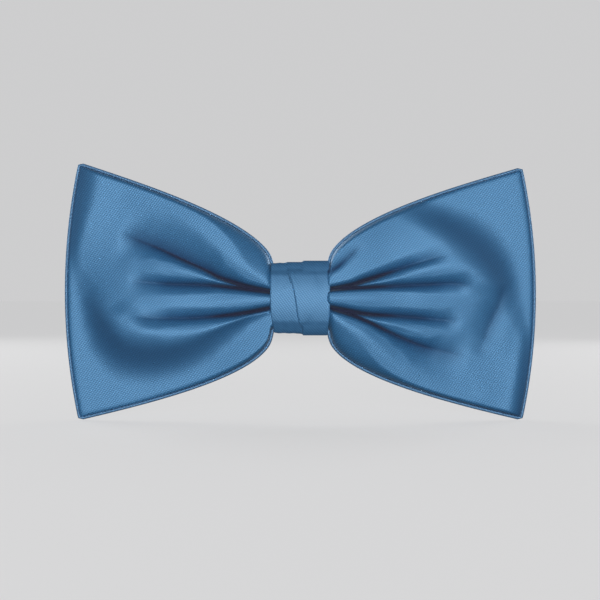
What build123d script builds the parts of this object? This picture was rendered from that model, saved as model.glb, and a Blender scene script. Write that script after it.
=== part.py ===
"""A pre-made satin bow with a spring clip behind its knot.

The bow is two satin panels sewn round a stiff interlining, pinched at the waist, tied with thread
and covered by a satin knot band. The band also wraps the fixed jaw of the clip, which is glued to
the waist. The origin is the centre of the clip's flat rear face, behind the middle of the knot.
X runs along the bow, Z runs up its height, and the front faces -Y. Sizes are in millimetres.
"""

from build123d import *
import os

# Bow outline, rims included
bow_width = 120.0
corner_top = 34.0  # the upper corners, above the middle of the knot
corner_bottom = 31.0  # the lower corners, below it
outer_bulge = 3.3  # how far the outer edges swell past the corners
top_edge_power = 0.58  # how fast the upper edge climbs away from the knot
bottom_edge_power = 0.51

# Panels and what lies between them
panel_thickness = 0.5
interlining_thickness = 0.6
seam_allowance = 2.0  # from the sewn line in to the edge of the interlining
edge_thickness = 1.6  # of the whole bow where its panels meet
edge_spare = 2.0  # of flat edge on each section of a wing, most of which the outline trims
least_bow = 0.02  # of each wall of a section, which keeps its arcs from going straight
front_puff = 6.8  # how far the front panel swells from the seam plane
back_puff = 3.2
rim_width = 0.9  # the turned and pressed edge that shows round each wing
rim_thickness = 1.2

# Knot, from the inside out
knot_width = 15.0
waist_height = 15.2
waist_depth = 6.4
waist_radius = 2.0
root_flare = 1.1  # how far the wings stand out all round the waist where they leave the knot
thread_thickness = 0.6
thread_turns = 8
thread_pitch = 1.3
wadding_thickness = 1.2
wadding_margin = 1.5  # from the wadding out to the knot's ends and to the waist's top and bottom
lining_thickness = 0.3
band_thickness = 0.9
second_turn = 0.4  # how far the band's second turn stands over its first
second_turn_start = 0.8  # the X where the second turn begins

# Stitches that close the band behind
stitch_count = 5
stitch_length = 2.2
stitch_width = 0.4
stitch_spacing = 2.6
stitch_gap = 1.0  # between the stitches and the moving jaw, seen from behind

# Spring clip
sheet = 0.8  # the thickness of both jaws
clip_width = 8.0
jaw_reach = 24.0  # from the origin to the gripping tip
thumb_length = 11.0  # from the pivot to the thumb ends
pivot_room = 0.6  # between the knot band and the pivot's ears
band_gap = 0.35  # between the knot band and the moving jaw
adhesive_thickness = 0.3
adhesive_margin = 1.0  # from the adhesive out to the knot's ends
tip_gap = 0.1  # between the closed teeth and the fixed jaw
tooth_count = 3
tooth_depth = 0.7
tooth_pitch = 2.2
jaw_corner = 1.6  # the rounding of the jaws' ends, seen from behind
bend_radius = 1.0
ramp_length = 4.9  # of the moving jaw, from its flat plate up to its bridge
bridge_half = 2.6  # half the length of the raised bridge over the pivot
thumb_rise = 4.6  # how far the thumb end stands above the bridge
pin_radius = 0.75
pin_head_radius = 1.2
pin_head = 0.5
pin_head_round = 0.4
pin_clearance = 0.05
ear_radius = 1.9  # of the fixed jaw's ears; the moving jaw's are set by ear_gap
ear_gap = 0.15  # between the two jaws, at the ears' sides and ends
wire_radius = 0.35
coil_radius = 1.3  # to the middle of the wire
coil_turns = 4
coil_pitch = 0.78
coil_clearance = 0.45
leg_reach = 7.0  # how far the spring's legs reach past the pivot
leg_gap = 0.1  # between the free leg and the moving jaw

# Places along Y, from the clip's rear face at 0 forward to the front of the knot
plate_inner_y = -sheet
band_back_y = plate_inner_y - band_gap
lining_back_y = band_back_y - band_thickness
base_rear_y = lining_back_y - lining_thickness
base_front_y = base_rear_y - sheet
thread_back_y = base_front_y - adhesive_thickness
waist_back_y = thread_back_y - thread_thickness
waist_front_y = waist_back_y - waist_depth
thread_front_y = waist_front_y - thread_thickness
lining_front_y = thread_front_y - wadding_thickness
band_front_y = lining_front_y - lining_thickness
seam_y = waist_back_y - back_puff
pivot_y = base_rear_y + coil_clearance + wire_radius + coil_radius
bridge_inner_y = pivot_y + coil_radius + wire_radius + coil_clearance

# Places along X and Z that several pieces share
root_x = knot_width / 2
root_half = waist_height / 2 + root_flare
half_width = bow_width / 2 - rim_width
corner_x = half_width - outer_bulge
pivot_x = root_x + pivot_room + ear_radius
thumb_x = pivot_x + thumb_length

# The shares of a wing's length at which its upper and lower edges are drawn, closer by the knot
edge_shares = (0.0, 0.04, 0.12, 0.26, 0.5, 0.75, 1.0)


def edge_z(x, corner, power):
    """The height of the upper or lower edge above the knot's middle, at x."""
    share = min(1.0, (x - root_x) / (corner_x - root_x))
    return root_half + (corner - root_half) * share**power


def outline(inset):
    """The panels' outline, moved in by inset at the edges and at both ends."""
    top = corner_top - rim_width
    bottom = corner_bottom - rim_width
    along = [root_x + (corner_x - root_x) * share for share in edge_shares]
    upper = [(x, edge_z(x, top, top_edge_power) - inset) for x in along]
    lower = [(x, inset - edge_z(x, bottom, bottom_edge_power)) for x in along]
    upper_corner = (corner_x - inset, upper[-1][1])
    lower_corner = (corner_x - inset, lower[-1][1])
    with BuildSketch(mode=Mode.PRIVATE) as shape:
        with BuildLine():
            Line((0, lower[0][1]), (0, upper[0][1]))
            Line((0, upper[0][1]), upper[0])
            Spline(*upper[:-1], upper_corner)
            ThreePointArc(upper_corner, (half_width - inset, (top - bottom) / 2), lower_corner)
            Spline(lower_corner, *reversed(lower[:-1]))
            Line(lower[0], (0, lower[0][1]))
        make_face()
        mirror(about=Plane.YZ)
    return shape.sketch_local


def lens(top, bottom, front, back, edge_half):
    """A cross-section of a wing: two bowed walls between flat edges. Its X is the bow's Y."""
    middle = (top - bottom) / 2
    front_edge = seam_y - edge_half
    back_edge = seam_y + edge_half
    with BuildSketch(mode=Mode.PRIVATE) as shape:
        with BuildLine():
            ThreePointArc((front_edge, top), (seam_y - front, middle), (front_edge, -bottom))
            Polyline(
                (front_edge, -bottom), (front_edge, -bottom - edge_spare),
                (back_edge, -bottom - edge_spare), (back_edge, -bottom),
            )
            ThreePointArc((back_edge, -bottom), (seam_y + back, middle), (back_edge, top))
            Polyline(
                (back_edge, top), (back_edge, top + edge_spare),
                (front_edge, top + edge_spare), (front_edge, top),
            )
        make_face()
    return shape.sketch_local


# Stations along a wing: the share of its length, and the shares of the front and back puff
root_front = waist_depth - back_puff + root_flare
stations = (
    (0.0, root_front / front_puff, 1.0), (0.12, 0.88, 1.0), (0.3, 1.0, 1.0),
    (0.62, 0.88, 0.85), (0.88, 0.42, 0.5), (1.08, 0.13, 0.26),
)


def wings(wall, margin, edge_half):
    """Both wings as filled bodies, thinner than their outside by wall, and narrower by margin."""
    with BuildPart() as body:
        for share, front_share, back_share in stations:
            x = root_x + (corner_x - root_x) * share
            top = edge_z(x, corner_top - rim_width, top_edge_power) - margin
            bottom = edge_z(x, corner_bottom - rim_width, bottom_edge_power) - margin
            front = max(front_puff * front_share - wall, edge_half + least_bow)
            back = max(back_puff * back_share - wall, edge_half + least_bow)
            with BuildSketch(Plane.YZ.offset(x)):
                add(lens(top, bottom, front, back, edge_half))
        loft()
        mirror(about=Plane.YZ)
        with BuildSketch(Plane.XZ):
            add(outline(margin))
        extrude(amount=front_puff * 3, both=True, mode=Mode.INTERSECT)
    return body.part


def waist():
    """The gathered middle of the panels, where all their pleats are pressed together."""
    with BuildPart() as block:
        with BuildSketch(Plane.YZ.offset(-root_x)):
            with Locations(((waist_front_y + waist_back_y) / 2, 0)):
                RectangleRounded(waist_depth, waist_height, waist_radius)
        extrude(amount=knot_width)
    return block.part


# The sheet that stiffens the bow, sewn in between the panels
with BuildPart() as interlining:
    with BuildSketch(Plane.XZ.offset(-seam_y - interlining_thickness / 2)):
        add(outline(seam_allowance))
    extrude(amount=interlining_thickness)
interlining.part.label = "interlining"

# Both panels as one hollow body, from which the front and back panels are cut at the seam plane
with BuildPart() as panels:
    add(wings(0, 0, edge_thickness / 2))
    add(waist())
    add(wings(panel_thickness, seam_allowance, interlining_thickness / 2), mode=Mode.SUBTRACT)
    add(interlining.part, mode=Mode.SUBTRACT)

with BuildPart() as front_panel:
    add(panels.part)
    split(bisect_by=Plane.XZ.offset(-seam_y), keep=Keep.TOP)
front_panel.part.label = "front_panel"

with BuildPart() as back_panel:
    add(panels.part)
    split(bisect_by=Plane.XZ.offset(-seam_y), keep=Keep.BOTTOM)
back_panel.part.label = "back_panel"


def rolled_edge(side):
    """The turned edge round one wing, from the knot's top, out and back to its underside."""
    with BuildPart() as rim:
        with BuildSketch(Plane.XZ.offset(-seam_y - rim_thickness / 2)):
            add(outline(-rim_width))
            add(outline(0), mode=Mode.SUBTRACT)
            with Locations((side * (root_x - bow_width / 2), 0)):
                Rectangle(bow_width, bow_width, mode=Mode.SUBTRACT)
        extrude(amount=rim_thickness)
    return rim.part


rolled_edge_left = rolled_edge(-1)
rolled_edge_left.label = "rolled_edge_left"
rolled_edge_right = rolled_edge(1)
rolled_edge_right.label = "rolled_edge_right"


def loop(front_y, back_y, height, radius):
    """The outline of a rounded loop round the waist. Its X is the bow's Y."""
    with BuildSketch(mode=Mode.PRIVATE) as shape:
        with Locations(((front_y + back_y) / 2, 0)):
            RectangleRounded(back_y - front_y, height, radius)
    return shape.sketch_local


# The turns of thread that cinch the waist, each a closed ring
thread_radius = thread_thickness / 2
turn = loop(
    waist_front_y - thread_radius, waist_back_y + thread_radius,
    waist_height + thread_thickness, waist_radius + thread_radius,
)
with BuildPart() as waist_binding:
    for number in range(thread_turns):
        x = (number - (thread_turns - 1) / 2) * thread_pitch
        path = (Plane.YZ.offset(x) * turn).wire()
        with BuildSketch(Plane(origin=path @ 0, z_dir=path % 0)):
            Circle(thread_radius)
        sweep(path=path)
waist_binding.part.label = "waist_binding"

# The pad of wadding that rounds the front of the knot
with BuildPart() as knot_wadding:
    with BuildSketch(Plane.XZ.offset(-thread_front_y)):
        RectangleRounded(knot_width - 2 * wadding_margin, waist_height - 2 * wadding_margin, waist_radius)
    extrude(amount=wadding_thickness)
    fillet(knot_wadding.faces().sort_by(Axis.Y)[0].edges(), wadding_thickness / 2)
knot_wadding.part.label = "knot_wadding"

# The loops of the knot, from the inside out, as the values that loop() takes
tied_height = waist_height + 2 * thread_thickness
tied_radius = waist_radius + thread_thickness
lined_height = tied_height + 2 * lining_thickness
lined_radius = tied_radius + lining_thickness
first_height = lined_height + 2 * band_thickness
first_radius = lined_radius + band_thickness
first_front_y = band_front_y - band_thickness
tied_loop = loop(lining_front_y, base_rear_y, tied_height, tied_radius)
lined_loop = loop(band_front_y, lining_back_y, lined_height, lined_radius)
first_loop = loop(first_front_y, band_back_y, first_height, first_radius)
second_loop = loop(first_front_y - second_turn, band_back_y, first_height + 2 * second_turn, first_radius)

# The stiff lining inside the knot band
with BuildPart() as band_lining:
    with BuildSketch(Plane.YZ.offset(-root_x)):
        add(lined_loop)
        add(tied_loop, mode=Mode.SUBTRACT)
    extrude(amount=knot_width)
band_lining.part.label = "band_lining"

# The satin knot band, whose second turn covers the right half of its first
with BuildPart() as knot_band:
    with BuildSketch(Plane.YZ.offset(-root_x)):
        add(first_loop)
    extrude(amount=root_x + second_turn_start)
    with BuildSketch(Plane.YZ.offset(second_turn_start)):
        add(second_loop)
    extrude(amount=root_x - second_turn_start)
    with BuildSketch(Plane.YZ.offset(-root_x)):
        add(lined_loop)
    extrude(amount=knot_width, mode=Mode.SUBTRACT)
knot_band.part.label = "knot_band"

# The whip stitches that close the band behind, clear of the moving jaw
stitch_height = clip_width / 2 + stitch_gap + stitch_length / 2
with BuildPart() as band_stitches:
    with BuildSketch(Plane.XY.offset(stitch_height - stitch_length / 2)):
        with Locations((0, band_back_y)):
            with GridLocations(stitch_spacing, 1, stitch_count, 1):
                Circle(stitch_width / 2)
        with Locations((0, band_back_y - bow_width / 2)):
            Rectangle(bow_width, bow_width, mode=Mode.SUBTRACT)
    extrude(amount=stitch_length)
band_stitches.part.label = "band_stitches"

# The glue between the clip's fixed jaw and the tied waist
with BuildPart() as clip_adhesive:
    with BuildSketch(Plane.XZ.offset(-base_front_y)):
        Rectangle(knot_width - 2 * adhesive_margin, clip_width)
    extrude(amount=adhesive_thickness)
clip_adhesive.part.label = "clip_adhesive"


def ears(outer_z, radius, jaw_y):
    """A pair of pivot ears, whose outer faces stand outer_z from the middle, joined to a jaw at jaw_y."""
    with BuildPart() as pair:
        with BuildSketch(Plane.XY.offset(outer_z - sheet)):
            with Locations((pivot_x, pivot_y)):
                Circle(radius)
            with Locations((pivot_x, (pivot_y + jaw_y) / 2)):
                Rectangle(2 * radius, abs(jaw_y - pivot_y))
        extrude(amount=sheet)
        mirror(about=Plane.XY)
    return pair.part


base_ear_z = clip_width / 2 + ear_gap + sheet

# The clip's fixed jaw, which runs through the knot band
with BuildPart() as clip_base:
    with BuildSketch(Plane.XZ.offset(-base_rear_y)):
        with Locations(((thumb_x - jaw_reach) / 2, 0)):
            RectangleRounded(thumb_x + jaw_reach, clip_width, jaw_corner)
        with Locations((pivot_x, 0)):
            Rectangle(2 * ear_radius, 2 * base_ear_z)
    extrude(amount=sheet)
    add(ears(base_ear_z, ear_radius, base_front_y))
    with BuildSketch(Plane.XY.offset(-base_ear_z)):
        with Locations((pivot_x, pivot_y)):
            Circle(pin_radius)
    extrude(amount=2 * base_ear_z, mode=Mode.SUBTRACT)
clip_base.part.label = "clip_base"

# The clip's moving jaw: teeth, flat plate, bridge over the pivot, and thumb end
plate_mid_y = plate_inner_y + sheet / 2
bridge_mid_y = bridge_inner_y + sheet / 2
tip_x = -jaw_reach + sheet / 2
with BuildPart() as clip_lever:
    with BuildSketch(Plane.XY.offset(-clip_width / 2)):
        with BuildLine():
            FilletPolyline(
                (tip_x, base_rear_y + tip_gap),
                (tip_x, plate_mid_y),
                (pivot_x - bridge_half - ramp_length, plate_mid_y),
                (pivot_x - bridge_half, bridge_mid_y),
                (pivot_x + bridge_half, bridge_mid_y),
                (thumb_x, bridge_mid_y + thumb_rise),
                radius=bend_radius,
            )
        trace(line_width=sheet)
    extrude(amount=clip_width)
    thumb_end = clip_lever.faces().sort_by(Axis.X)[-1]
    fillet(thumb_end.edges().sort_by(SortBy.LENGTH)[:2], jaw_corner)
    add(ears(clip_width / 2, pivot_y - base_rear_y - ear_gap, bridge_mid_y))
    with BuildSketch(Plane.XY.offset(-clip_width / 2)):
        with Locations((pivot_x, pivot_y)):
            Circle(pin_radius + pin_clearance)
    extrude(amount=clip_width, mode=Mode.SUBTRACT)
    with BuildSketch(Plane.YZ.offset(-jaw_reach)):
        with Locations((base_rear_y + tip_gap, 0)):
            with GridLocations(1, tooth_pitch, 1, tooth_count):
                Rectangle(tooth_depth * 2**0.5, tooth_depth * 2**0.5, rotation=45)
    extrude(amount=sheet, mode=Mode.SUBTRACT)
clip_lever.part.label = "clip_lever"

# The pin, riveted over at both ends
with BuildPart() as clip_pin:
    with BuildSketch(Plane.XY.offset(-base_ear_z)):
        with Locations((pivot_x, pivot_y)):
            Circle(pin_radius)
    extrude(amount=2 * base_ear_z)
    with BuildSketch(Plane.XY.offset(base_ear_z)):
        with Locations((pivot_x, pivot_y)):
            Circle(pin_head_radius)
    extrude(amount=pin_head)
    fillet(clip_pin.faces().sort_by(Axis.Z)[-1].edges(), pin_head_round)
    mirror(about=Plane.XY)
clip_pin.part.label = "clip_pin"

# The torsion spring: a coil round the pin, one leg on the fixed jaw and one under the thumb end
coil_height = (coil_turns + 0.5) * coil_pitch
thumb_slope = thumb_rise / (thumb_length - bridge_half)
leg_below_thumb = leg_gap + wire_radius * (1 + thumb_slope)
held_end = Vector(pivot_x + leg_reach, base_rear_y + wire_radius, coil_height / 2)
free_bend = Vector(pivot_x + bridge_half, bridge_inner_y - leg_below_thumb, -coil_height / 2)
free_end = free_bend + Vector(leg_reach - bridge_half, (leg_reach - bridge_half) * thumb_slope, 0)
coil_end = (pivot_x, pivot_y, -coil_height / 2)
with BuildLine() as coil:
    Helix(pitch=coil_pitch, height=coil_height, radius=coil_radius, center=coil_end)
coil_path = coil.wire().rotate(Axis((pivot_x, pivot_y, 0), (0, 0, 1)), 90)
with BuildLine() as free_leg:
    FilletPolyline(coil_path @ 0, free_bend, free_end, radius=bend_radius)
with BuildLine() as held_leg:
    Line(coil_path @ 1, held_end)
with BuildPart() as clip_spring:
    for path in (coil_path, free_leg.wire(), held_leg.wire()):
        with BuildSketch(Plane(origin=path @ 0, z_dir=path % 0)):
            Circle(wire_radius)
        sweep(path=path, is_frenet=True)
clip_spring.part.label = "clip_spring"

os.makedirs("parts", exist_ok=True)
pieces = [
    front_panel.part, back_panel.part, interlining.part, rolled_edge_left, rolled_edge_right,
    waist_binding.part, knot_wadding.part, band_lining.part, knot_band.part, band_stitches.part,
    clip_adhesive.part, clip_base.part, clip_lever.part, clip_pin.part, clip_spring.part,
]
for piece in pieces:
    export_step(piece, f"parts/{piece.label}.step")
    print(piece.label, "volume", round(piece.volume, 1), "solids", len(piece.solids()))
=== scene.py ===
from math import cos, pi, radians, sin

import bmesh
import bpy
import numpy as np
from mathutils import Matrix, Vector


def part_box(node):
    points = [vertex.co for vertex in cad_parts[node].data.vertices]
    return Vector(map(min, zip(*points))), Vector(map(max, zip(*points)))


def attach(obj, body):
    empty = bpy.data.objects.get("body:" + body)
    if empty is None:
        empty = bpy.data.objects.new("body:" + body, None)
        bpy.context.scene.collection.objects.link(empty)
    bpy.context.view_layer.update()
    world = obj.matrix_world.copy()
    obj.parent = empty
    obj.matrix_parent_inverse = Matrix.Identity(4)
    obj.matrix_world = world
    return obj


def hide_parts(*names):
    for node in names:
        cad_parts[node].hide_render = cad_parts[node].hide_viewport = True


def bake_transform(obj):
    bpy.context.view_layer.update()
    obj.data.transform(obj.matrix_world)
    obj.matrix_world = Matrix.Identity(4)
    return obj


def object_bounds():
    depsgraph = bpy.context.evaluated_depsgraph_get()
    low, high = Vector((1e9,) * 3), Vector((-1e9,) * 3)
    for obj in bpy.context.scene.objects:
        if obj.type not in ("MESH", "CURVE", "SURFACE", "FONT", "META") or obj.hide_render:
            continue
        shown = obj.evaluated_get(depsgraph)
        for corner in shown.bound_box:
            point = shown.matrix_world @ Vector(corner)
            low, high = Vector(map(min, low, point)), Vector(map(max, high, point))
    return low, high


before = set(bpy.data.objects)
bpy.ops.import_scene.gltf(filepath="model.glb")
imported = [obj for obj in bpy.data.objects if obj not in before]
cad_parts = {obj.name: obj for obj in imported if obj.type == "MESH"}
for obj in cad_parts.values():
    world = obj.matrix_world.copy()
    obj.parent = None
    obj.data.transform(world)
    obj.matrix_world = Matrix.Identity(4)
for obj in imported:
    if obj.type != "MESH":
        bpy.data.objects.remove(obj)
cad_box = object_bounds()
MM = 0.001

# ---- Shared steps ----
# What several pieces need: an object from a finished shape, a material for a node that the frame holds,
# cloth of one thickness, and a material that wanders between two colours.


def add_piece(name, shape):
    """A smoothly shaded object made from a bmesh, which is freed."""
    data = bpy.data.meshes.new(name)
    shape.to_mesh(data)
    shape.free()
    data.shade_smooth()
    piece = bpy.data.objects.new(name, data)
    bpy.context.scene.collection.objects.link(piece)
    return piece


def dress(node, material):
    """Give every part of a node from the frame one material."""
    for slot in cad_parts[node].material_slots:
        slot.material = material


def give_thickness(piece, thickness):
    """Cloth of one thickness, laid behind the surface that shows."""
    solid = piece.modifiers.new("cloth thickness", "SOLIDIFY")
    solid.thickness = thickness
    solid.offset = -1


def mottled(name, pattern_type, scale, colours, roughness, relief=0):
    """A material whose pattern mixes two colours, and embosses it where relief is given; and the pattern."""
    material = bpy.data.materials.new(name)
    material.use_nodes = True
    tree = material.node_tree
    shader = tree.nodes["Principled BSDF"]
    place = tree.nodes.new("ShaderNodeTexCoord")
    pattern = tree.nodes.new(pattern_type)
    pattern.inputs["Scale"].default_value = scale
    tree.links.new(place.outputs["Object"], pattern.inputs["Vector"])
    colour = tree.nodes.new("ShaderNodeMix")
    colour.data_type = "RGBA"
    colour.inputs["A"].default_value = (*colours[0], 1)
    colour.inputs["B"].default_value = (*colours[1], 1)
    tree.links.new(pattern.outputs["Fac"], colour.inputs["Factor"])
    tree.links.new(colour.outputs["Result"], shader.inputs["Base Color"])
    if relief:
        bump = tree.nodes.new("ShaderNodeBump")
        bump.inputs["Distance"].default_value = relief
        tree.links.new(pattern.outputs["Fac"], bump.inputs["Height"])
        tree.links.new(bump.outputs["Normal"], shader.inputs["Normal"])
    shader.inputs["Roughness"].default_value = roughness
    return material, pattern


# ---- Camera ----
# It looks level at the front of the bow, from far enough off that both wings show their true outline.
bow_low, bow_high = (Vector(corner) for corner in cad_box)
camera_distance = 423 * MM
camera_x, camera_z = -0.1 * MM, -0.5 * MM
camera_data = bpy.data.cameras.new("camera")
camera_data.lens = 100
camera_data.sensor_width = 36
camera = bpy.data.objects.new("camera", camera_data)
camera.location = (camera_x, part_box("interlining")[0][1] - camera_distance, camera_z)
camera.rotation_euler = (pi / 2, 0, 0)
bpy.context.scene.collection.objects.link(camera)
bpy.context.scene.camera = camera
bpy.context.scene.view_settings.view_transform = "Standard"

# ---- Floor ----
# A pale floor that the bow's lower corners just touch.
floor_half = 40
floor_mesh = bmesh.new()
bmesh.ops.create_grid(floor_mesh, x_segments=1, y_segments=1, size=floor_half)
bmesh.ops.translate(floor_mesh, verts=floor_mesh.verts, vec=(0, 0, bow_low.z))
floor = add_piece("floor", floor_mesh)
floor_paint = bpy.data.materials.new("floor paint")
floor_paint.use_nodes = True
floor_nodes = floor_paint.node_tree
floor_shader = floor_nodes.nodes["Principled BSDF"]
floor_shader.inputs["Base Color"].default_value = (0.14, 0.14, 0.14, 1)
floor_shader.inputs["Roughness"].default_value = 0.9
floor_shader.inputs["Specular IOR Level"].default_value = 0.1
floor_shader.inputs["Emission Color"].default_value = (0.58, 0.58, 0.585, 1)
floor_seen = floor_nodes.nodes.new("ShaderNodeLightPath")
floor_nodes.links.new(floor_seen.outputs["Is Camera Ray"], floor_shader.inputs["Emission Strength"])
floor.data.materials.append(floor_paint)

# ---- Lights and surroundings ----
# A small soft light stands behind the camera and a little above it, and others light the sides and back.
# The walls look pale but give little light, so that the satin's folds keep their dark flanks.


def soft_light(name, place, aim, size, power, tint=(1, 1, 1)):
    """A square area light at place that faces aim."""
    lamp = bpy.data.lights.new(name, "AREA")
    lamp.shape = "SQUARE"
    lamp.size = size
    lamp.energy = power
    lamp.color = tint
    holder = bpy.data.objects.new(name, lamp)
    holder.location = place
    holder.rotation_euler = (Vector(aim) - Vector(place)).to_track_quat("-Z", "Y").to_euler()
    bpy.context.scene.collection.objects.link(holder)


bow_middle = (bow_low + bow_high) / 2
soft_light("front light", (0.0, -0.80, 0.03), bow_middle, 0.12, 6.2)
soft_light("left light", (-0.8, 0.1, 0.35), bow_middle, 0.3, 0.8)
soft_light("right light", (0.8, 0.1, 0.35), bow_middle, 0.3, 0.8)
soft_light("back left light", (-0.55, 0.6, 0.3), bow_middle, 0.5, 4.0)
soft_light("back right light", (0.55, 0.6, 0.12), bow_middle, 0.5, 4.0)

world = bpy.data.worlds.new("walls")
bpy.context.scene.world = world
world.use_nodes = True
world_nodes = world.node_tree
world_nodes.nodes.clear()
seen = world_nodes.nodes.new("ShaderNodeLightPath")
seen_walls = world_nodes.nodes.new("ShaderNodeBackground")
seen_walls.inputs["Color"].default_value = (0.614, 0.614, 0.62, 1)
lighting_walls = world_nodes.nodes.new("ShaderNodeBackground")
lighting_walls.inputs["Color"].default_value = (0.10, 0.10, 0.105, 1)
either = world_nodes.nodes.new("ShaderNodeMixShader")
world_out = world_nodes.nodes.new("ShaderNodeOutputWorld")
world_nodes.links.new(seen.outputs["Is Camera Ray"], either.inputs["Fac"])
world_nodes.links.new(lighting_walls.outputs["Background"], either.inputs[1])
world_nodes.links.new(seen_walls.outputs["Background"], either.inputs[2])
world_nodes.links.new(either.outputs["Shader"], world_out.inputs["Surface"])

# ---- Satin ----
# The cloth of both panels, the pressed edges and the knot: blue polyester satin, whose long floats lie
# in fine slanting rows. One group draws the rows and each cloth places it with its own values.


def joined(tree, node_type, operation=None, inputs=()):
    """A new node whose sockets, in order, take the given values or links."""
    node = tree.nodes.new(node_type)
    if operation:
        node.operation = operation
    for socket, value in zip(node.inputs, inputs):
        if isinstance(value, bpy.types.NodeSocket):
            tree.links.new(value, socket)
        elif value is not None:
            socket.default_value = value
    return node


def make_weave():
    """A node group that draws satin's rows of floats from coordinates in millimetres of cloth."""
    group = bpy.data.node_groups.new("satin weave", "ShaderNodeTree")
    for name, kind in (("Cloth", "NodeSocketVector"), ("Row Pitch", "NodeSocketFloat")):
        group.interface.new_socket(name, in_out="INPUT", socket_type=kind)
    for name in ("Rows", "Slubs"):
        group.interface.new_socket(name, in_out="OUTPUT", socket_type="NodeSocketFloat")
    into = group.nodes.new("NodeGroupInput")
    out = group.nodes.new("NodeGroupOutput")
    split = joined(group, "ShaderNodeSeparateXYZ", inputs=[into.outputs["Cloth"]])
    turns = joined(group, "ShaderNodeMath", "DIVIDE", [2 * pi, into.outputs["Row Pitch"]]).outputs[0]

    def wave(across, up):
        """A sine of one slanting direction of the cloth."""
        a = joined(group, "ShaderNodeMath", "MULTIPLY", [split.outputs["X"], across]).outputs[0]
        b = joined(group, "ShaderNodeMath", "MULTIPLY_ADD", [split.outputs["Y"], up, a]).outputs[0]
        phase = joined(group, "ShaderNodeMath", "MULTIPLY", [b, turns]).outputs[0]
        return joined(group, "ShaderNodeMath", "SINE", [phase]).outputs[0]

    slant = wave(0.80, -0.60)
    steep = wave(0.38, 1.05)
    rows = joined(group, "ShaderNodeMath", "MULTIPLY_ADD", [steep, 0.7, slant]).outputs[0]
    rows = joined(group, "ShaderNodeMath", "MULTIPLY_ADD", [rows, 0.29, 0.5]).outputs[0]
    group.links.new(rows, out.inputs["Rows"])
    noise = group.nodes.new("ShaderNodeTexNoise")
    noise.inputs["Scale"].default_value = 1.6
    noise.inputs["Detail"].default_value = 3
    stretched = joined(group, "ShaderNodeVectorMath", "MULTIPLY", [into.outputs["Cloth"], (0.25, 1.6, 1)])
    group.links.new(stretched.outputs[0], noise.inputs["Vector"])
    group.links.new(noise.outputs["Fac"], out.inputs["Slubs"])
    return group


weave = make_weave()


def make_satin(name, lit, shaded, painted_hollow_shade=None, painted_crease_shade=None, row_pitch=0.56, painted_shade_mask=None):
    """Satin whose rows run from shaded to lit. A vertex mask darkens it with painted shade, towards a hollow
    colour and then a crease colour.
    """
    satin = bpy.data.materials.new(name)
    satin.use_nodes = True
    tree = satin.node_tree
    shader = tree.nodes["Principled BSDF"]
    uv = tree.nodes.new("ShaderNodeUVMap")
    uv.uv_map = "cloth"
    grain = tree.nodes.new("ShaderNodeGroup")
    grain.node_tree = weave
    grain.inputs["Row Pitch"].default_value = row_pitch
    tree.links.new(uv.outputs["UV"], grain.inputs["Cloth"])
    mix = joined(tree, "ShaderNodeMath", "MULTIPLY_ADD", [grain.outputs["Slubs"], 0.45, -0.22]).outputs[0]
    mix = joined(tree, "ShaderNodeMath", "ADD", [grain.outputs["Rows"], mix])
    mix.use_clamp = True
    colour = tree.nodes.new("ShaderNodeMix")
    colour.data_type = "RGBA"
    tree.links.new(mix.outputs[0], colour.inputs["Factor"])
    colour.inputs["A"].default_value = (*shaded, 1)
    colour.inputs["B"].default_value = (*lit, 1)
    result = colour.outputs["Result"]
    # Painted shade: the mask mixes darker colours into the creases and hollows, where shade falls.
    if painted_shade_mask:
        mask = tree.nodes.new("ShaderNodeAttribute")
        mask.attribute_name = painted_shade_mask
        painted_hollow_factor = joined(tree, "ShaderNodeMath", "MULTIPLY", [mask.outputs["Fac"], 1.7])
        painted_hollow_factor.use_clamp = True
        painted_heart_shade = joined(tree, "ShaderNodeMath", "MULTIPLY_ADD", [mask.outputs["Fac"], 2.5, -1.5])
        painted_heart_shade.use_clamp = True
        for depth, darker in ((painted_hollow_factor, painted_hollow_shade), (painted_heart_shade, painted_crease_shade)):
            darkened = tree.nodes.new("ShaderNodeMix")
            darkened.data_type = "RGBA"
            tree.links.new(depth.outputs[0], darkened.inputs["Factor"])
            tree.links.new(result, darkened.inputs["A"])
            darkened.inputs["B"].default_value = (*darker, 1)
            result = darkened.outputs["Result"]
    tree.links.new(result, shader.inputs["Base Color"])
    rough = joined(tree, "ShaderNodeMath", "MULTIPLY_ADD", [grain.outputs["Slubs"], 0.10, 0.575]).outputs[0]
    rough = joined(tree, "ShaderNodeMath", "MULTIPLY_ADD", [grain.outputs["Rows"], -0.10, rough]).outputs[0]
    if painted_shade_mask:
        rough = joined(tree, "ShaderNodeMath", "MULTIPLY_ADD", [mask.outputs["Fac"], 0.4, rough]).outputs[0]
    tree.links.new(rough, shader.inputs["Roughness"])
    bump = tree.nodes.new("ShaderNodeBump")
    bump.inputs["Strength"].default_value = 0.5
    bump.inputs["Distance"].default_value = 0.06 * MM
    tree.links.new(grain.outputs["Rows"], bump.inputs["Height"])
    tree.links.new(bump.outputs["Normal"], shader.inputs["Normal"])
    shader.inputs["Metallic"].default_value = 0.2
    shader.inputs["IOR"].default_value = 1.9
    shader.inputs["Specular Tint"].default_value = (0.50, 0.80, 1.0, 1)
    shader.inputs["Sheen Weight"].default_value = 0.12
    shader.inputs["Sheen Roughness"].default_value = 0.4
    shader.inputs["Sheen Tint"].default_value = (0.55, 0.75, 1.0, 1)
    return satin


# The panels' satin takes painted shade in its creases and hollows from the mask stored on the front panel.
panel_satin = make_satin(
    "blue satin", (0.040, 0.165, 0.350), (0.014, 0.075, 0.182),
    painted_hollow_shade=(0.006, 0.040, 0.120), painted_crease_shade=(0.012, 0.006, 0.030), painted_shade_mask="crease",
)
edge_satin = make_satin("pressed satin edge", (0.085, 0.185, 0.340), (0.045, 0.120, 0.240))
knot_satin = make_satin("knot satin", (0.050, 0.165, 0.340), (0.022, 0.090, 0.200))

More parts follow.
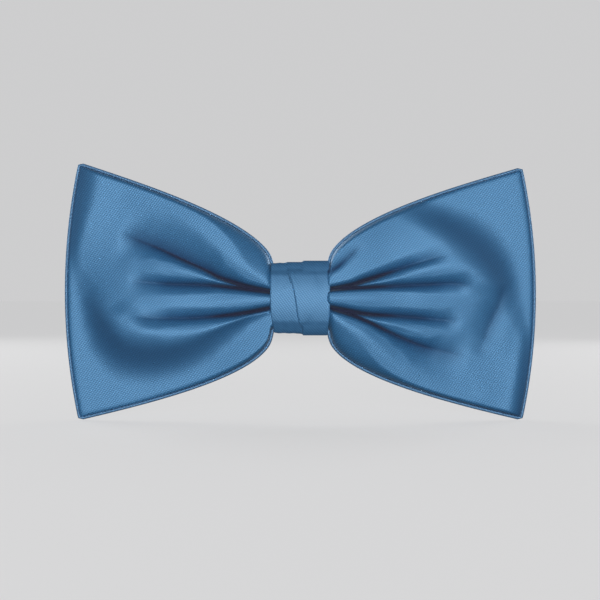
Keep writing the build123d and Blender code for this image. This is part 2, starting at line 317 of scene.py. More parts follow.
# ---- Interlining ----
# A stiff non-woven sheet, sewn in between the panels, which keeps the wings flat. It stays as the
# frame holds it, in undyed felted fibre.
white_felt, fibres = mottled(
    "white felt", "ShaderNodeTexNoise", 900, ((0.62, 0.62, 0.60), (0.86, 0.86, 0.84)), 0.95, relief=0.1 * MM
)
fibres.inputs["Detail"].default_value = 6
dress("interlining", white_felt)

# ---- Wing outline ----
# Both panels share one outline. Their edges climb steeply away from the knot and then run out to the
# corners, and the outer edges swell between the corners.
seam_y = (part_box("interlining")[0][1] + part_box("interlining")[1][1]) / 2 / MM
rim = 0.9
root_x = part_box("knot_band")[1][0] / MM
half_width = bow_high.x / MM - rim
outer_bulge = 3.3
corner_x = half_width - outer_bulge
root_half = 8.7
waist_share = -root_x / (corner_x - root_x)
waist_pinch = 1.3
pinch_start = 0.022
pinch_share = 0.05

# The corners of each wing, and how fast its edges climb. Up is the edge that rolls over, which is the
# upper one on the left wing and the lower one on the right.
left_wing = {"side": -1, "turn": 1, "up": (33.6, 0.60), "down": (30.2, 0.50)}
right_wing = {"side": 1, "turn": -1, "up": (30.2, 0.50), "down": (32.4, 0.55)}


def edge_height(wing, edge, u):
    """How far an edge of the wing stands from the bow's middle line, in millimetres, at share u."""
    corner, power = wing[edge]
    share = np.clip(u, 0, 1) ** power
    return root_half + (corner - root_half) * share - waist_pinch * eased((pinch_start - u) / pinch_share)


def eased(share):
    """From 0 to 1 as share goes from 0 to 1, gently at both ends."""
    share = np.clip(share, 0, 1)
    return share * share * (3 - 2 * share)


def wing_place(wing, u, v):
    """The place of the point u along the wing and v across it, as (p outward, q up) in millimetres."""
    up = edge_height(wing, "up", u)
    down = -edge_height(wing, "down", u)
    q = down + (up - down) * v
    middle = (wing["up"][0] - wing["down"][0]) / 2
    reach = (wing["up"][0] + wing["down"][0]) / 2
    swell = 1 - np.clip((q - middle) / reach, -1, 1) ** 2
    p = root_x + (corner_x - root_x) * u + outer_bulge * swell * np.clip(u, 0, 1) ** 3
    return p, q


# ---- Front panel ----
# The front panel is one piece of satin gathered under the knot. Each wing puffs up from its seam in a
# few rolls, parted by creases that fan out from the knot, and drops to a flat border on one side.


def drawn_line(points, steps=8):
    """A smooth line through points, as rows of an array. The values after each point ease to the next."""
    rows = np.array(points, float)
    ends = np.vstack([2 * rows[0] - rows[1], rows, 2 * rows[-1] - rows[-2]])
    line = []
    for a, b, c, d in zip(ends, ends[1:], ends[2:], ends[3:]):
        for t in np.arange(steps) / steps:
            here = b + (b - a + c - b) / 2 * t + (a - 2.5 * b + 2 * c - d / 2) * t**2
            here = here + (1.5 * (b - c) + (d - a) / 2) * t**3
            here[2:] = b[2:] + (c[2:] - b[2:]) * eased(t)
            line.append(here)
    line.append(rows[-1])
    return np.array(line)


def level(points, p):
    """The smooth curve through points of (p, value), read at p."""
    curve = drawn_line(points)
    return np.interp(p, curve[:, 0], curve[:, 1])


def beside_line(line, p, q):
    """Each point's distance from line, positive on its left, and the line's own values nearest it."""
    nearest = np.full(p.shape, 1e9)
    side = np.ones(p.shape)
    values = np.zeros((*p.shape, line.shape[1] - 2))
    for start, end in zip(line, line[1:]):
        run = end[:2] - start[:2]
        t = np.clip(((p - start[0]) * run[0] + (q - start[1]) * run[1]) / (run @ run), 0, 1)
        off_p = p - start[0] - t * run[0]
        off_q = q - start[1] - t * run[1]
        distance = np.hypot(off_p, off_q)
        closer = distance < nearest
        nearest = np.where(closer, distance, nearest)
        side = np.where(closer, np.sign(run[0] * off_q - run[1] * off_p + 1e-9), side)
        here = start[2:] + t[..., None] * (end[2:] - start[2:])
        values = np.where(closer[..., None], here, values)
    return nearest * side, values


def ridge(points, p, q):
    """A rounded roll. Each point is (p, q, height, width on the left, width on the right)."""
    away, values = beside_line(drawn_line(points), p, q)
    width = np.where(away > 0, values[..., 1], values[..., 2])
    return values[..., 0] * np.exp(-((away / width) ** 2))


def crease(points, p, q):
    """A sharp valley, and painted shade along its heart. Each point is (p, q, depth, width on the left, on
    the right).
    """
    away, values = beside_line(drawn_line(points), p, q)
    width = np.where(away > 0, values[..., 1], values[..., 2])
    blunt = np.hypot(away, 0.05 * width) - 0.05 * width
    depth = crease_depth * values[..., 0] * np.clip(1 - blunt / (1.7 * width), 0, 1) ** 2
    # Painted shade: a mask that is strongest along the valley's heart.
    painted_heart_shade = np.exp(-((away / (0.25 + 0.45 * width)) ** 2)) + 0.7 * np.exp(-((away / 0.4) ** 2))
    return depth, values[..., 0] * painted_heart_shade


def shelf(points, p, q):
    """A rise to the left of a line. Each point is (p, q, height, reach on the right, on the left)."""
    line = drawn_line(points)
    away, values = beside_line(line, p, q)
    total = (values[..., 1] + values[..., 2]) / 2
    reach = np.where(away > 0, values[..., 2], values[..., 1])
    turn = 1 + np.clip(away / reach, -1, 1)
    climb = reach * (turn / 2 - np.sin(pi * turn) / (2 * pi) - 0.5) + values[..., 1] / 2
    nearness = 1 / (1 + np.hypot(p[:, None] - line[:, 0], q[:, None] - line[:, 1]) ** 3)
    height = (nearness @ line[:, 2]) / nearness.sum(axis=1)
    return height * climb / total, height * np.sin(pi * turn / 2) ** 2


# The folds of each wing, in millimetres out from the middle of the knot and up towards the rolled edge.
# Border and rolled are heights and widths along the wing, and the others are read by the functions above.
left_wing["border"] = [(5, 4.3), (14, 3.2), (24, 1.9), (36, 1.2), (48, 1.0), (62, 0.9)]
left_wing["shelf"] = [
    (5, -2.2, 0.3, 1.0, 0.4), (12, -4.4, 1.2, 2.6, 0.6), (16, -6.1, 2.0, 4.4, 1.0),
    (20, -8.2, 2.8, 5.8, 1.6), (25, -10.9, 3.7, 7.4, 2.8), (31, -13.2, 4.5, 8.2, 4.2),
    (38, -14.2, 5.0, 9.0, 6.2), (43.6, -13.2, 5.0, 9.4, 6.2), (47.6, -10.4, 4.9, 8.0, 5.6),
    (50.4, -6.2, 4.5, 6.2, 5.4), (52.4, -2.0, 3.2, 4.8, 5.2), (54, 1.4, 1.2, 3.8, 4.6),
    (56, 5, 0.4, 2.4, 3.2), (57.4, 9, 0.5, 1.5, 2.2), (57.3, 13.5, 1.2, 1.6, 2.6),
    (56.5, 19, 1.9, 1.8, 3.6), (55.2, 27, 2.1, 2.4, 4.8), (53.6, 38, 2.1, 2.4, 5.2),
]
left_wing["ridges"] = [
    [(8, 4.2, 0.3, 2.5, 1.6), (16.5, 9.4, 0.7, 3, 3), (25.4, 17.4, 0.6, 4, 4), (37, 24.4, 0.3, 6, 6),
     (46, 28, 0, 6, 6)],
    [(14, 3.0, 0.2, 0.5, 0.4), (19.2, 3.6, 0.4, 0.6, 0.6), (24.5, 5.3, 0.5, 1.0, 1.1),
     (30, 6.8, 0.6, 1.8, 1.8), (35.2, 7.8, 0.5, 2.6, 2.4), (41.4, 8.4, 0.2, 4, 3), (47, 10, 0, 4, 4)],
    [(5, -0.4, 0.7, 1.8, 1.8), (17, -0.9, 0.6, 2.2, 2.2), (28, -1.0, 0.3, 3.2, 3.2), (40, 0, 0, 4, 4)],
    [(12, -4.2, 0.1, 0.5, 0.5), (16.5, -5.8, 0.4, 0.8, 1.0), (25.4, -8.0, 0.5, 1.6, 1.8),
     (34.7, -8.4, 0.7, 2.6, 2.6), (40, -7.4, 0.8, 3.0, 3.0), (44.2, -4.6, 0.6, 3.0, 3.0),
     (46.6, -1.0, 0, 4, 4)],
]
left_wing["creases"] = [
    [(5, 1.3, -1.6, 0.7, 0.5), (12, 2.6, -2.2, 1.0, 0.4), (19.2, 4.6, -2.9, 2.2, 0.5),
     (24.5, 7.3, -3.4, 4.0, 0.7), (30, 9.8, -3.5, 5.4, 1.0), (35.5, 12.4, -3.1, 5.8, 1.8),
     (40, 14.2, -2.4, 5.4, 3.2), (46, 16.6, 0, 5, 5)],
    [(5, 1.2, -1.6, 0.4, 0.8), (12, 2.0, -2.0, 0.5, 0.9), (19.2, 2.9, -2.5, 0.7, 1.1),
     (26, 3.3, -2.9, 0.9, 1.5), (32.5, 3.5, -2.7, 1.3, 1.8), (38, 3.9, -1.5, 1.7, 2.2),
     (44, 4.4, 0, 2.5, 3)],
    [(5, -2.0, -2.0, 0.7, 0.5), (12, -3.4, -2.2, 0.9, 0.8), (17, -4.2, -2.4, 1.2, 0.9),
     (22, -4.7, -2.6, 1.5, 1.0), (27, -5.0, -2.6, 1.8, 1.1), (32, -5.1, -2.2, 2.0, 1.3),
     (37, -5.1, -1.3, 2.2, 1.8), (43, -4.6, 0, 3, 3)],
]
left_wing["rolled"] = [
    (5, 7.4), (10, 9.4), (13, 8.4), (17, 4.8), (22, 2.2), (28, 1.3), (40, 1.1), (62, 1.0),
]
right_wing["border"] = [(5, 4.3), (14, 3.6), (24, 2.3), (34, 1.5), (44, 1.1), (54, 1.0), (62, 0.9)]
right_wing["shelf"] = [
    (18, -29, 0.1, 4, 4), (24, -24.4, 0.8, 4, 4), (31, -21.0, 2.6, 5.4, 4.8), (36, -18.6, 4.0, 6.6, 6.0),
    (41, -15.6, 4.6, 8.0, 7.4), (45.2, -12.2, 4.7, 8.2, 7.4), (48.6, -8.4, 4.5, 7.2, 6.6),
    (50.8, -4.2, 4.0, 6.0, 5.6), (52.4, -0.8, 2.5, 4.8, 5.0), (54.2, 2.4, 1.0, 3.6, 4.0),
    (56, 6, 0.5, 2.2, 2.8), (57, 11, 0.8, 1.6, 2.2), (56.4, 18, 1.4, 1.8, 2.6),
    (55.4, 27, 1.9, 2.2, 3.4), (54, 36, 1.8, 2.4, 3.6),
]
right_wing["ridges"] = [
    [(8, 4.6, 0.3, 2, 1.2), (12, 6.8, 0.6, 2.2, 1.6), (16.3, 9.4, 0.8, 2.6, 2.2), (21.6, 14.2, 0.8, 3, 3.2),
     (26, 18.0, 0.7, 3.5, 4.2), (31, 21.4, 0.6, 4, 5), (38, 24.6, 0.5, 4, 6), (45, 24.4, 0.4, 4, 6),
     (52, 20, 0, 4, 6)],
    [(13, 4.4, 0.1, 0.5, 0.4), (17.6, 5.5, 0.5, 0.7, 0.7), (23.8, 6.8, 0.7, 1.1, 1.1),
     (29.6, 8.3, 0.6, 1.7, 1.7), (37, 9.8, 0.2, 3, 3), (42, 10, 0, 3, 3)],
    [(5, 0, 0.7, 1.8, 1.8), (16, 0, 0.6, 2.2, 2.2), (28, 0.4, 0.3, 3.2, 3.2), (38, 1.4, 0, 4, 4)],
    [(12, -2.6, 0.1, 0.4, 0.4), (16.7, -3.3, 0.4, 0.6, 0.6), (23.8, -4.9, 0.6, 1.0, 1.0),
     (30.5, -6.7, 0.6, 1.8, 1.8), (36.3, -7.8, 0.5, 2.6, 2.6), (41.6, -7.2, 0.4, 3.0, 3.0),
     (45.2, -4.4, 0.3, 3.2, 3.2), (46, -0.4, 0, 4, 4)],
]
right_wing["creases"] = [
    [(5, 1.9, -1.8, 0.6, 0.5), (12, 3.9, -2.2, 0.8, 0.4), (17.2, 6.0, -2.2, 0.8, 0.4),
     (21.6, 8.2, -2.6, 1.1, 0.5), (26, 10.3, -3.0, 1.9, 0.7), (31, 12.2, -2.8, 3.6, 1.4),
     (36, 13.4, -1.5, 4.8, 3.0), (43, 15, 0, 6, 5)],
    [(5, 1.8, -2.0, 0.5, 0.8), (12, 3.2, -2.3, 0.6, 1.0), (17, 4.1, -2.7, 0.6, 1.2),
     (24, 4.5, -2.9, 0.8, 1.4), (30, 5.0, -2.8, 1.1, 1.5), (35, 5.5, -1.8, 1.5, 1.8), (41, 6.0, 0, 3, 3)],
    [(5, -1.9, -2.0, 0.5, 0.5), (12, -2.4, -2.0, 0.6, 0.4), (19.4, -2.8, -2.4, 0.7, 0.6),
     (26, -3.1, -2.7, 1.0, 0.9), (32.7, -3.4, -2.7, 1.5, 1.2), (38.5, -3.6, -1.9, 2.0, 1.6),
     (44, -3.2, 0, 3, 3)],
    [(5, -1.9, -2.0, 0.5, 0.7), (12, -3.0, -2.8, 0.4, 1.0), (16.3, -4.3, -3.2, 0.5, 1.3),
     (20.7, -5.8, -3.0, 0.6, 1.5), (26, -7.7, -2.4, 0.7, 1.7), (31.8, -9.5, -1.2, 1.0, 2.2),
     (38, -11.2, 0, 2, 4)],
    [(5.5, -5.8, -0.9, 0.8, 1.2), (9, -7.6, -0.9, 0.9, 1.4), (12.5, -10.6, -0.5, 1.2, 2),
     (16, -14, 0, 2, 2)],
    [(51.6, -4, 0, 3, 3), (50.6, 0, -1.0, 3.2, 3.2), (49, 4, -1.5, 3.4, 3.4),
     (47.3, 8, -1.2, 3.6, 3.4), (45.8, 12, -0.5, 3.6, 3.4), (44.8, 15.5, 0, 4, 4)],
]
right_wing["rolled"] = [
    (5, 7.2), (10, 8.0), (15, 6.6), (20, 3.2), (25, 1.8), (32, 1.2), (40, 1.1), (62, 1.0),
]

flat_edge = 1.4
panel_cloth = 0.3
shade_reach = 2.8
rim_height = 0.6
crease_depth = 0.75
waist_height = 3.05


def bulging(distance, width):
    """From 0 at an edge to 1 past width, as a pad's side curves up from its seam."""
    inward = np.clip(distance / width, 0, 1)
    return np.sqrt(np.maximum(1 - (1 - inward) ** 2, 0))


def tucked_in(wing, p, q, u, height):
    """The height of a panel that is squeezed flat where the thread binds it, inside the knot."""
    edge = np.minimum(edge_height(wing, "up", u) - q, q + edge_height(wing, "down", u))
    bound = rim_height + (waist_height - rim_height) * bulging(edge, 2.5)
    free = eased((p - 5.1) / 2.2)
    return bound + (height - bound) * free


def front_shape(wing, u, v):
    """The front panel's height over the seam, and its mask of painted shade, at u along the wing and v
    across.

    The mask is painted shade: it darkens the creases, the shelf's slope, and a strip by the upper part of
    the outer edge.
    """
    p, q = wing_place(wing, u, v)
    rise, steep = shelf(wing["shelf"], p, q)
    height = level(wing["border"], p) + rise
    for points in wing["ridges"]:
        height += ridge(points, p, q)
    # Painted shade on the shelf's slope, in the creases and by the outer edge, gathered into one mask.
    dark = 0.075 * steep
    for points in wing["creases"]:
        depth, painted_heart_shade = crease(points, p, q)
        height += depth
        dark = dark - painted_heart_shade * (0.17 + 0.33 * eased((26 - p) / 16))
    outer_edge, _ = wing_place(wing, np.ones_like(u), v)
    dark = dark + 0.24 * (1 - eased((outer_edge - p) / shade_reach)) * eased((q - 6) / 8)
    rise = bulging(edge_height(wing, "up", u) - q, level(wing["rolled"], p))
    rise = rise * bulging(q + edge_height(wing, "down", u), flat_edge)
    rise = rise * bulging(outer_edge - p, flat_edge)
    height = rim_height + np.maximum(height - rim_height, 0.2) * rise
    return tucked_in(wing, p, q, u, height), np.clip(dark, 0, 1)


def gathered_panel(name, wings, columns, rows, shape, facing):
    """One panel of cloth, from wing to wing. shape gives its height over the seam, and facing its side."""
    sheet = bmesh.new()
    cloth = sheet.loops.layers.uv.new("cloth")
    # The crease attribute holds the mask of painted shade that the satin material reads.
    painted_crease_shade = sheet.verts.layers.float.new("crease")
    for wing in wings:
        start = len(sheet.verts)
        bmesh.ops.create_grid(sheet, x_segments=columns, y_segments=rows, size=0.5)
        sheet.verts.ensure_lookup_table()
        own = sheet.verts[start:]
        u = waist_share + (1 - waist_share) * (np.array([vert.co.x for vert in own]) + 0.5)
        v = np.array([vert.co.y for vert in own]) + 0.5
        p, q = wing_place(wing, u, v)
        height, mask = shape(wing, u, v)
        for vert, out, up, lift, dark in zip(own, p, q, height, mask):
            vert.co = (wing["side"] * out * MM, (seam_y + facing * lift) * MM, wing["turn"] * up * MM)
            vert[painted_crease_shade] = dark
    bmesh.ops.remove_doubles(sheet, verts=sheet.verts, dist=0.001 * MM)
    for face in sheet.faces:
        for loop in face.loops:
            loop[cloth].uv = (loop.vert.co.x / MM, loop.vert.co.z / MM)
    bmesh.ops.recalc_face_normals(sheet, faces=sheet.faces)
    if sum(face.normal.y * face.calc_area() for face in sheet.faces) * facing < 0:
        bmesh.ops.reverse_faces(sheet, faces=sheet.faces)
    return add_piece(name, sheet)


front_panel = gathered_panel("front_panel_satin", (left_wing, right_wing), 134, 176, front_shape, -1)
front_panel.data.materials.append(panel_satin)
give_thickness(front_panel, panel_cloth * MM)
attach(front_panel, "bow")
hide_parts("front_panel")

# ---- Back panel ----
# The back panel is cut like the front one but lies flatter, with shallow gathers by the knot.
back_edge = 9.0
gather_count = 5
gather_depth = 0.35
gather_fade = 11


def back_shape(wing, u, v):
    """The back panel's height over the seam at u along the wing and v across, with no crease mask."""
    p, q = wing_place(wing, u, v)
    swell = level([(5, 3.0), (16, 3.0), (28, 2.8), (42, 2.0), (54, 1.2), (62, 0.9)], p)
    gathers = gather_depth * np.cos(v * 2 * pi * gather_count)
    gathers = gathers * np.exp(-np.maximum(p - root_x, 0) / gather_fade)
    outer_edge, _ = wing_place(wing, np.ones_like(u), v)
    rise = bulging(edge_height(wing, "up", u) - q, back_edge)
    rise = rise * bulging(q + edge_height(wing, "down", u), back_edge)
    rise = rise * bulging(outer_edge - p, back_edge)
    height = rim_height + np.maximum(swell + np.minimum(gathers, 0) * 2 - rim_height, 0.2) * rise
    return tucked_in(wing, p, q, u, height), np.zeros(p.shape)


back_panel = gathered_panel("back_panel_satin", (left_wing, right_wing), 104, 110, back_shape, 1)
back_panel.data.materials.append(panel_satin)
give_thickness(back_panel, panel_cloth * MM)
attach(back_panel, "bow")
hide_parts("back_panel")

# ---- Rolled edges ----
# The seam round each wing is turned and pressed into a thin roll, which shows past the panels.
# Its run is shared out to the rolled edge, the outer edge and the other edge, with the corners between.
roll_corners = (0.36, 0.64)
roll_half_depth = 0.72
roll_tuck = 0.15
roll_length = 170


def rolled_edge(name, wing, around=10, rounds=330):
    """A thin roll of satin that follows the wing's outline from the knot, out, and back to the knot."""
    roll = bmesh.new()
    cloth = roll.loops.layers.uv.new("cloth")
    bmesh.ops.create_grid(roll, x_segments=rounds, y_segments=around, size=0.5)
    roll.verts.ensure_lookup_table()
    share = np.array([vert.co.x for vert in roll.verts]) + 0.5
    turn = (np.array([vert.co.y for vert in roll.verts]) + 0.5) * 2 * pi

    def outline(share):
        """The outline's (p, q), by the rolled edge, the outer edge, and the other edge."""
        u = np.interp(share, (0, *roll_corners, 1), (0, 1, 1, 0))
        v = np.interp(share, (0, *roll_corners, 1), (1, 1, 0, 0))
        by_long_edge = (share < roll_corners[0]) | (share > roll_corners[1])
        u = np.where(by_long_edge, u**1.4 * 1.04 - 0.04, u)
        return wing_place(wing, u, v)

    p, q = outline(share)
    ahead = outline(np.minimum(share + 0.002, 1))
    behind = outline(np.maximum(share - 0.002, 0))
    along_p, along_q = ahead[0] - behind[0], ahead[1] - behind[1]
    length = np.hypot(along_p, along_q)
    out_p, out_q = -along_q / length, along_p / length
    reach = rim / 2 * (1 + np.cos(turn)) - roll_tuck
    lift = roll_half_depth * np.sin(turn)
    p, q = p + out_p * reach, q + out_q * reach
    for vert, out, up, off in zip(roll.verts, p, q, lift):
        vert.co = (wing["side"] * out * MM, (seam_y + off) * MM, wing["turn"] * up * MM)
    run = share * roll_length
    for face in roll.faces:
        for loop in face.loops:
            loop[cloth].uv = (run[loop.vert.index], turn[loop.vert.index] * 0.4)
    bmesh.ops.remove_doubles(roll, verts=roll.verts, dist=0.001 * MM)
    bmesh.ops.holes_fill(roll, edges=[edge for edge in roll.edges if edge.is_boundary], sides=0)
    bmesh.ops.recalc_face_normals(roll, faces=roll.faces)
    piece = add_piece(name, roll)
    piece.data.materials.append(edge_satin)
    return piece


for name, wing in (("rolled_edge_left", left_wing), ("rolled_edge_right", right_wing)):
    piece = rolled_edge(name + "_satin", wing)
    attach(piece, "bow")
    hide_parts(name)

# ---- Thread ----
# Dark polyester thread is wound eight times round the waist, which gathers both panels. It is twisted,
# so it shows slanting plies.
thread, plies = mottled(
    "dark thread", "ShaderNodeTexWave", 900, ((0.012, 0.035, 0.085), (0.035, 0.095, 0.19)), 0.55,
    relief=0.05 * MM,
)
plies.bands_direction = "DIAGONAL"
dress("waist_binding", thread)

# ---- Wadding ----
# A pad of white polyester wadding lies on the bound waist and rounds the front of the knot. It is a
# little smaller than the room it has.
pad_squareness = 0.55
pad_share = 0.47
pad_low, pad_high = (Vector(corner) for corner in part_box("knot_wadding"))
pad_mesh = bmesh.new()
bmesh.ops.create_uvsphere(pad_mesh, u_segments=48, v_segments=24, radius=1)
for vert in pad_mesh.verts:
    vert.co = [np.sign(part) * abs(part) ** pad_squareness for part in vert.co]
bmesh.ops.scale(pad_mesh, verts=pad_mesh.verts, vec=(pad_high - pad_low) * pad_share)
bmesh.ops.translate(pad_mesh, verts=pad_mesh.verts, vec=(pad_high + pad_low) / 2)
pad = add_piece("knot_wadding_pad", pad_mesh)
pad.data.materials.append(white_felt)
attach(pad, "bow")
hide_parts("knot_wadding")

# ---- Band lining ----
# A strip of the same stiff felt goes once round the waist, so that the knot band keeps its width.


def round_loop(share, front, back, height, radius):
    """Points (y, z) round the waist from the middle of its back over the top, and which way they face."""
    corner_y, corner_z = back - radius, height / 2 - radius
    bend = pi * radius / 2
    flat_y = back - front - 2 * radius
    runs = [0, corner_z, bend, flat_y, bend, 2 * corner_z, bend, flat_y, bend, corner_z]
    stops = np.cumsum(runs)
    run = share * stops[-1]
    facing = np.interp(run, stops, np.repeat([0, 1, 2, 3, 4], 2) * pi / 2)
    behind = front + radius
    y = np.interp(run, stops, [corner_y] * 3 + [behind] * 4 + [corner_y] * 3)
    z = np.interp(run, stops, [0] + [corner_z] * 4 + [-corner_z] * 4 + [0])
    return y + radius * np.cos(facing), z + radius * np.sin(facing), facing, run


def wound_strip(name, turns, around, across):
    """A strip wound round the waist. Each turn is its loop's sizes, its side edges, and its lift."""
    strip = bmesh.new()
    cloth = strip.loops.layers.uv.new("cloth")
    for sizes, side_edges, lift in turns:
        start, first_face = len(strip.verts), len(strip.faces)
        bmesh.ops.create_grid(strip, x_segments=around, y_segments=across, size=0.5)
        strip.verts.ensure_lookup_table()
        strip.faces.ensure_lookup_table()
        own = strip.verts[start:]
        y, z, facing, run = round_loop(np.array([vert.co.x for vert in own]) + 0.5, *sizes)
        left, right = side_edges(y, z)
        share = (1 - np.cos(pi * (np.array([vert.co.y for vert in own]) + 0.5))) / 2
        x = left + (right - left) * share
        off = lift(x, y, z, facing)
        y = y + np.cos(facing) * off
        z = z + np.sin(facing) * off
        for vert, place in zip(own, zip(x, y, z)):
            vert.co = Vector(place) * MM
        spread = dict(zip(own, zip(x, run)))
        for face in strip.faces[first_face:]:
            for loop in face.loops:
                loop[cloth].uv = spread[loop.vert]
    bmesh.ops.remove_doubles(strip, verts=strip.verts, dist=0.001 * MM)
    for face in strip.faces:
        centre = face.calc_center_median()
        if face.normal.dot(Vector((0, centre.y - seam_y * MM, centre.z))) < 0:
            face.normal_flip()
    return add_piece(name, strip)


def crowned(z, facing):
    """How far the knot's front falls back above and below its middle."""
    return -np.where(z > 0, 2.3, 1.9) * (np.abs(z) / 9) ** 2.2 * np.maximum(-np.cos(facing), 0)


lining_low, lining_high = (Vector(corner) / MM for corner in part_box("band_lining"))
lining_half = 6.2
lining_corner = 2.9
lining_cloth = 0.26
lining_sizes = (lining_low.y, lining_high.y, lining_high.z - lining_low.z, lining_corner)


def lining_sides(y, z):
    """The lining's straight side edges."""
    return -lining_half + 0 * y, lining_half + 0 * y


def lining_lift(x, y, z, facing):
    """The lining is crowned in front like the band over it."""
    return crowned(z, facing)


lining = wound_strip("band_lining_felt", [(lining_sizes, lining_sides, lining_lift)], 120, 8)
lining.data.materials.append(white_felt)
give_thickness(lining, lining_cloth * MM)
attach(lining, "bow")
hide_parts("band_lining")

# ---- Knot band ----
# The visible knot is a strip of satin, folded to width and wound twice round the waist. The second turn
# starts at a slanting fold on the front, covers the right of the first, and widens to the left behind.
# Behind the front the first turn sinks under the second, but stays over the lining.
band_low, band_high = (Vector(corner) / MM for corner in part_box("knot_band"))
band_cloth = 0.35
band_half = 9.2
second_turn_room = 0.48
turn_height = 17.7
turn_corner = 3.2
turn_sizes = (band_low.y + second_turn_room, band_high.y, turn_height, turn_corner)


def band_sides(y, z):
    """The band's left and right edges, which draw in towards the bottom and a little towards the top."""
    below = (np.minimum(z, 0) / band_half) ** 2
    above = (np.maximum(z, 0) / band_half) ** 2
    return -(7.6 - 1.0 * below - 0.3 * above), 7.5 - 0.7 * below - 0.3 * above


def slanting_fold(y, z):
    """The left edge of the second turn: slanting on the front, and running out to the left behind."""
    front = level([(-9.6, 0.6), (-5, -0.7), (1.5, -1.7), (9.6, -3.7)], z)
    return front + (-7.2 - front) * eased((y - band_low.y - 2.5) / 9)


def folded_edge(x, y, z, reach=0.4, drop=0.22):
    """How far the cloth turns inward beside the band's two outer edges."""
    left, right = band_sides(y, z)
    near = np.clip(np.minimum(x - left, right - x) / reach, 0, 1)
    return -drop * (1 - np.sqrt(1 - (1 - near) ** 2))


def past_front(y):
    """From 0 on the knot's front to 1 where its top and underside run back."""
    return eased((y - band_low.y - 3) / 5)


def first_lift(x, y, z, facing):
    """The first turn: crowned in front, rising a little to the right, and sunk under the second behind."""
    behind = past_front(y)
    puckers = 0.05 * np.sin(x * 2.7 + z * 0.35) * eased((np.abs(z) - 3.5) / 4)
    risen = (puckers + 0.02 * (x + 7.5)) * (1 - behind)
    return crowned(z, facing) + risen - 0.28 * behind + folded_edge(x, y, z)


def second_lift(x, y, z, facing):
    """The second turn: over the first, with a rounded fold at its left and three shallow tucks."""
    left = slanting_fold(y, z)
    crown = crowned(z, facing)
    rounded = 0.34 * np.sqrt(1 - (1 - np.clip((x - left) / 0.55, 0, 1)) ** 2)
    over = 0.10 + rounded - 0.44 * past_front(y)
    ends = eased((np.abs(np.sin(facing)) - 0.35) / 0.5) * (1 - eased((y - band_low.y - 4) / 5))
    step = ends * (0.34 * eased((x - 0.4) / 0.35) - 0.16)
    tuck = -0.14 * np.exp(-(((x - 5.6 + 0.22 * z) / 0.75) ** 2)) * eased((z - 1) / 4)
    pull = -0.07 * np.exp(-(((x - left - 1.5) / 0.5) ** 2)) * eased((z - 2) / 4)
    lower = -0.14 * np.exp(-(((x - 3.2 - 0.15 * z) / 0.8) ** 2)) * eased((-z - 3) / 4)
    front = np.maximum(-np.cos(facing), 0)
    return crown + over + step + (tuck + pull + lower) * front + folded_edge(x, y, z)


def second_sides(y, z):
    """The second turn runs from the slanting fold to the band's right edge."""
    return slanting_fold(y, z), band_sides(y, z)[1]


turns = [(turn_sizes, band_sides, first_lift), (turn_sizes, second_sides, second_lift)]
knot = wound_strip("knot_band_satin", turns, 220, 56)
knot.data.materials.append(knot_satin)
give_thickness(knot, band_cloth * MM)
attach(knot, "bow")
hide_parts("knot_band")

# ---- Closing stitches ----
# Five slanting stitches of the dark thread close the band behind, above the clip.
stitch_low, stitch_high = (Vector(corner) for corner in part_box("band_stitches"))
stitch_pitch = 2.6 * MM
stitch_thread = 0.17 * MM
stitch_slant = radians(16)
stitch_sides = 10
stitch_steps = 16
stitch_bow = 0.28
stitches_mesh = bmesh.new()
for number in range(5):
    x = (number - 2) * stitch_pitch
    ring = bmesh.ops.create_circle(stitches_mesh, segments=stitch_sides, radius=stitch_thread)["verts"]
    middle = Vector((x, stitch_low.y, (stitch_low.z + stitch_high.z) / 2))
    reach = (stitch_high.z - stitch_low.z) / 2
    bmesh.ops.rotate(stitches_mesh, verts=ring, cent=(0, 0, 0), matrix=Matrix.Rotation(pi / 2, 3, "X"))
    bmesh.ops.translate(stitches_mesh, verts=ring, vec=middle - Vector((0, 0, reach)))
    edges = [edge for edge in stitches_mesh.edges if edge.verts[0] in ring]
    bmesh.ops.spin(
        stitches_mesh, geom=ring + edges, cent=middle, axis=(1, 0, 0), angle=-pi, steps=stitch_steps
    )
    stitches_mesh.verts.ensure_lookup_table()
    own = stitches_mesh.verts[number * (stitch_steps + 1) * stitch_sides:]
    for vert in own:
        vert.co.y = middle.y + (vert.co.y - middle.y) * stitch_bow
    bmesh.ops.rotate(stitches_mesh, verts=own, cent=middle, matrix=Matrix.Rotation(stitch_slant, 3, "Y"))
open_ends = [edge for edge in stitches_mesh.edges if edge.is_boundary]
bmesh.ops.holes_fill(stitches_mesh, edges=open_ends, sides=0)
bmesh.ops.recalc_face_normals(stitches_mesh, faces=stitches_mesh.faces)
stitches = add_piece("band_stitches_thread", stitches_mesh)
stitches.data.materials.append(thread)
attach(stitches, "bow")
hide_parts("band_stitches")

# ---- Glue ----
# A bed of hot glue, cloudy and a little yellow, holds the clip's fixed jaw to the bound waist.
glue = mottled("cloudy glue", "ShaderNodeTexNoise", 400, ((0.60, 0.54, 0.38), (0.78, 0.74, 0.60)), 0.3)[0]
dress("clip_adhesive", glue)

# ---- Clip ----
# An alligator clip behind the knot: two pressed jaws of thin nickel-plated steel on a riveted pin. The
# plating is bright, with fine brushing along the jaws and faint cloudy marks from handling.


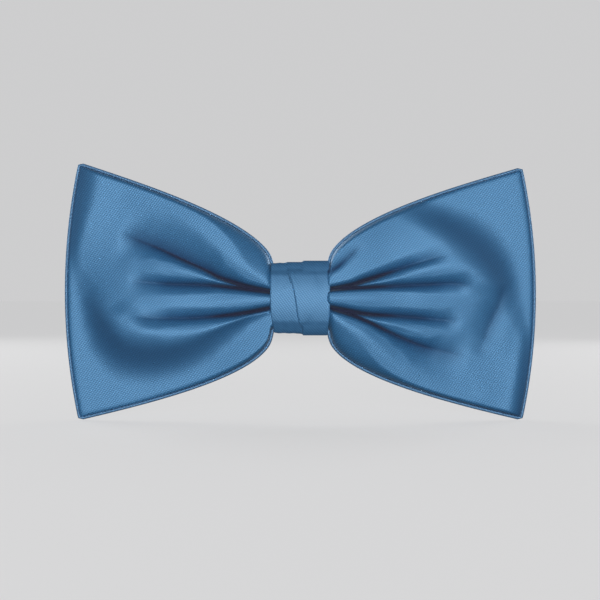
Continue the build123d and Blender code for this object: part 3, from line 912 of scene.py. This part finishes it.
def make_plating(name, bright, dull, roughness, grain):
    """Plated steel that varies from bright to dull, brushed lengthways with grain lines per metre."""
    plating = bpy.data.materials.new(name)
    plating.use_nodes = True
    tree = plating.node_tree
    shader = tree.nodes["Principled BSDF"]
    place = tree.nodes.new("ShaderNodeTexCoord")
    marks = tree.nodes.new("ShaderNodeTexNoise")
    marks.inputs["Scale"].default_value = 220
    marks.inputs["Detail"].default_value = 4
    tree.links.new(place.outputs["Object"], marks.inputs["Vector"])
    colour = tree.nodes.new("ShaderNodeMix")
    colour.data_type = "RGBA"
    colour.inputs["A"].default_value = (*bright, 1)
    colour.inputs["B"].default_value = (*dull, 1)
    tree.links.new(marks.outputs["Fac"], colour.inputs["Factor"])
    tree.links.new(colour.outputs["Result"], shader.inputs["Base Color"])
    brushed = joined(tree, "ShaderNodeVectorMath", "MULTIPLY", [place.outputs["Object"], (0.04, 1, 1)])
    lines = tree.nodes.new("ShaderNodeTexNoise")
    lines.inputs["Scale"].default_value = grain
    tree.links.new(brushed.outputs[0], lines.inputs["Vector"])
    rough = joined(tree, "ShaderNodeMath", "MULTIPLY_ADD", [marks.outputs["Fac"], 0.16, roughness])
    tree.links.new(rough.outputs[0], shader.inputs["Roughness"])
    bump = tree.nodes.new("ShaderNodeBump")
    bump.inputs["Strength"].default_value = 0.25
    bump.inputs["Distance"].default_value = 0.01 * MM
    tree.links.new(lines.outputs["Fac"], bump.inputs["Height"])
    tree.links.new(bump.outputs["Normal"], shader.inputs["Normal"])
    shader.inputs["Metallic"].default_value = 1
    return plating


nickel = make_plating("nickel plating", (0.80, 0.78, 0.74), (0.64, 0.62, 0.58), 0.26, 5000)
for name in ("clip_base", "clip_lever", "clip_pin"):
    dress(name, nickel)

# ---- Clip spring ----
# A torsion spring of steel wire is coiled round the pin. One leg lies against the fixed jaw and the
# other pushes up the thumb end of the moving one.
spring_steel = make_plating("spring steel", (0.52, 0.51, 0.50), (0.36, 0.35, 0.34), 0.26, 9000)
pin_low, pin_high = (Vector(corner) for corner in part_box("clip_pin"))
pivot = (pin_low + pin_high) / 2
coil_radius = 1.3 * MM
wire_radius = 0.35 * MM
coil_half = 1.755 * MM
coil_turns = 4.5
coil_steps = 20
free_leg = [(17.0, 3.62), (12.6, 1.21)]
held_leg = [(13.5, -1.775), (17.0, -2.0)]
turning = np.linspace(0, 1, int(coil_turns * coil_steps) + 1)
line = [Vector((x * MM, y * MM, -coil_half)) for x, y in free_leg]
for share in turning:
    angle = pi / 2 + share * coil_turns * 2 * pi
    around = Vector((cos(angle), sin(angle), 0)) * coil_radius
    line.append(Vector((pivot.x, pivot.y, coil_half * (2 * share - 1))) + around)
line += [Vector((x * MM, y * MM, coil_half)) for x, y in held_leg]
wire = bpy.data.curves.new("clip_spring_wire", "CURVE")
wire.dimensions = "3D"
wire.bevel_depth = wire_radius
wire.bevel_resolution = 4
wire.use_fill_caps = True
run = wire.splines.new("POLY")
run.points.add(len(line) - 1)
for point, place in zip(run.points, line):
    point.co = (*place, 1)
wire_shape = bpy.data.objects.new("clip_spring_shape", wire)
bpy.context.scene.collection.objects.link(wire_shape)
spring_data = bpy.data.meshes.new_from_object(wire_shape)
bpy.data.objects.remove(wire_shape)
spring_data.name = "clip_spring_wire"
spring_data.shade_smooth()
spring_data.materials.clear()
spring_data.materials.append(spring_steel)
spring = bpy.data.objects.new("clip_spring_wire", spring_data)
bpy.context.scene.collection.objects.link(spring)
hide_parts("clip_spring")
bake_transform(spring)
